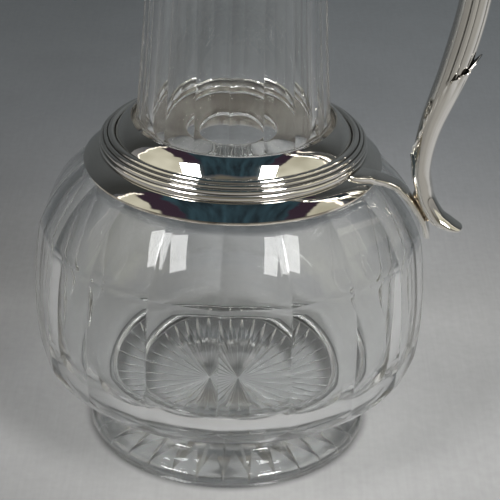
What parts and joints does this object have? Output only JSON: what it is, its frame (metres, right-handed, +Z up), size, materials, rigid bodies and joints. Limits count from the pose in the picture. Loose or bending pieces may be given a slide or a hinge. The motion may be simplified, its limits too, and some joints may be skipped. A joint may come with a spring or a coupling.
{
  "type": "claret jug",
  "caption": "Cut glass claret jug with a silver collar, neck mount, spout, reeded handle and a hinged domed lid.",
  "frame": {"origin": "centre of the foot's underside", "axes": "+Z up through the neck, +X towards the handle, -X towards the spout"},
  "size_m": [0.1628, 0.1448, 0.2888],
  "materials": {
    "glass": "clear cut glass, polished",
    "silver": "polished silver, slightly warm, fine wear scratches",
    "plaster": "matt plaster cement"
  },
  "bodies": {
    "vessel": {"glass_body": "glass", "collar_cement": "plaster", "neck_plaster": "plaster", "shoulder_collar": "silver", "handle_tongue": "silver", "handle_saddle": "silver", "handle": "silver", "handle_outer_leaf": "silver", "handle_inner_leaf": "silver", "handle_socket": "silver", "neck_mount": "silver", "mount_reeding": "silver", "pouring_spout": "silver", "mouth_wire": "silver", "mount_hinge_leaf": "silver", "hinge_pin": "silver"},
    "lid": {"lid_hinge_leaf": "silver", "lid_cover": "silver", "lid_rim_wire": "silver", "lid_bezel": "silver", "thumbpiece": "silver", "finial_calyx": "silver", "finial": "silver", "finial_stud": "silver", "finial_nut": "silver"}
  },
  "joints": [
    {"name": "lid_hinge", "type": "hinge", "parent": "vessel", "child": "lid", "pos_m": [0.039, 0, 0.2415], "axis": [0, 1, 0], "range_deg": [0, 95]}
  ]
}
